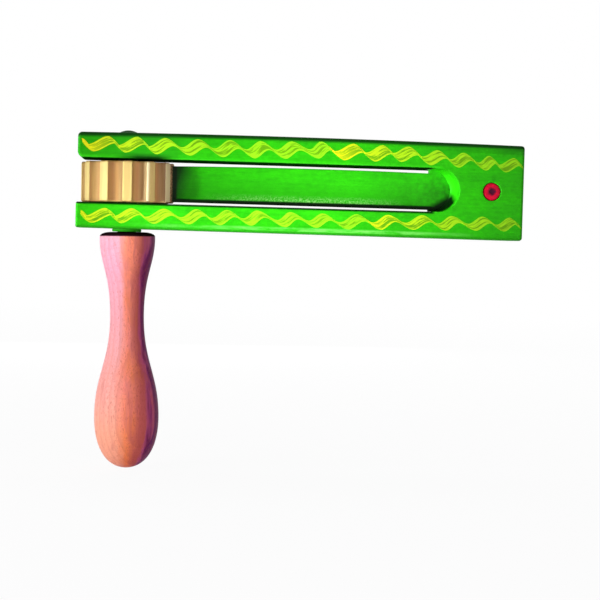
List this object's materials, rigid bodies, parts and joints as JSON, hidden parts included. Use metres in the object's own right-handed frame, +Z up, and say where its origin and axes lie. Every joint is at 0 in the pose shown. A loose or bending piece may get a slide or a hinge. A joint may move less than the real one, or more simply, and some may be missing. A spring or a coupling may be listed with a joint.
{
  "type": "ratchet noisemaker",
  "caption": "Wooden hand ratchet: a slotted painted frame swings round a turned handle, and a springy tongue clicks over a fluted wheel fixed to the handle.",
  "frame": {"origin": "middle of the handle, on its turning axis, where the hand holds it", "axes": "+Z up the handle's axis towards the frame, +X along the frame towards its closed end, -Y towards the decorated face"},
  "size_m": [0.19, 0.0394, 0.1443],
  "materials": {
    "green_paint": "satin green paint on wood",
    "tongue_paint": "thin green paint on a wooden slat",
    "red_paint": "red paint on the peg's ends",
    "pale_wood": "bare sanded wood",
    "brad_steel": "plain wire brad",
    "axle_paint": "dowel, its top end green",
    "reddish_wood": "bare turned wood, fine flecks",
    "washer_paint": "thin green collar"
  },
  "bodies": {
    "handle": {"handle": "reddish_wood", "axle": "axle_paint", "ratchet_wheel": "pale_wood", "wheel_pin": "brad_steel"},
    "frame": {"frame": "green_paint", "tongue_tail": "tongue_paint", "tongue_peg": "red_paint", "spacer_washer": "washer_paint"},
    "tongue": {"tongue_blade": "tongue_paint"}
  },
  "joints": [
    {"name": "frame_spin", "type": "hinge", "parent": "handle", "child": "frame", "pos_m": [0, 0, 0.07165], "axis": [0, 0, 1], "continuous": true},
    {"name": "tongue_flex", "type": "hinge", "parent": "frame", "child": "tongue", "pos_m": [0.1297, 0, 0.07165], "axis": [0, 0, 1], "range_deg": [-7.6, 3], "stiffness_Nm_per_rad": 9, "deforming": ["tongue_blade"]}
  ]
}
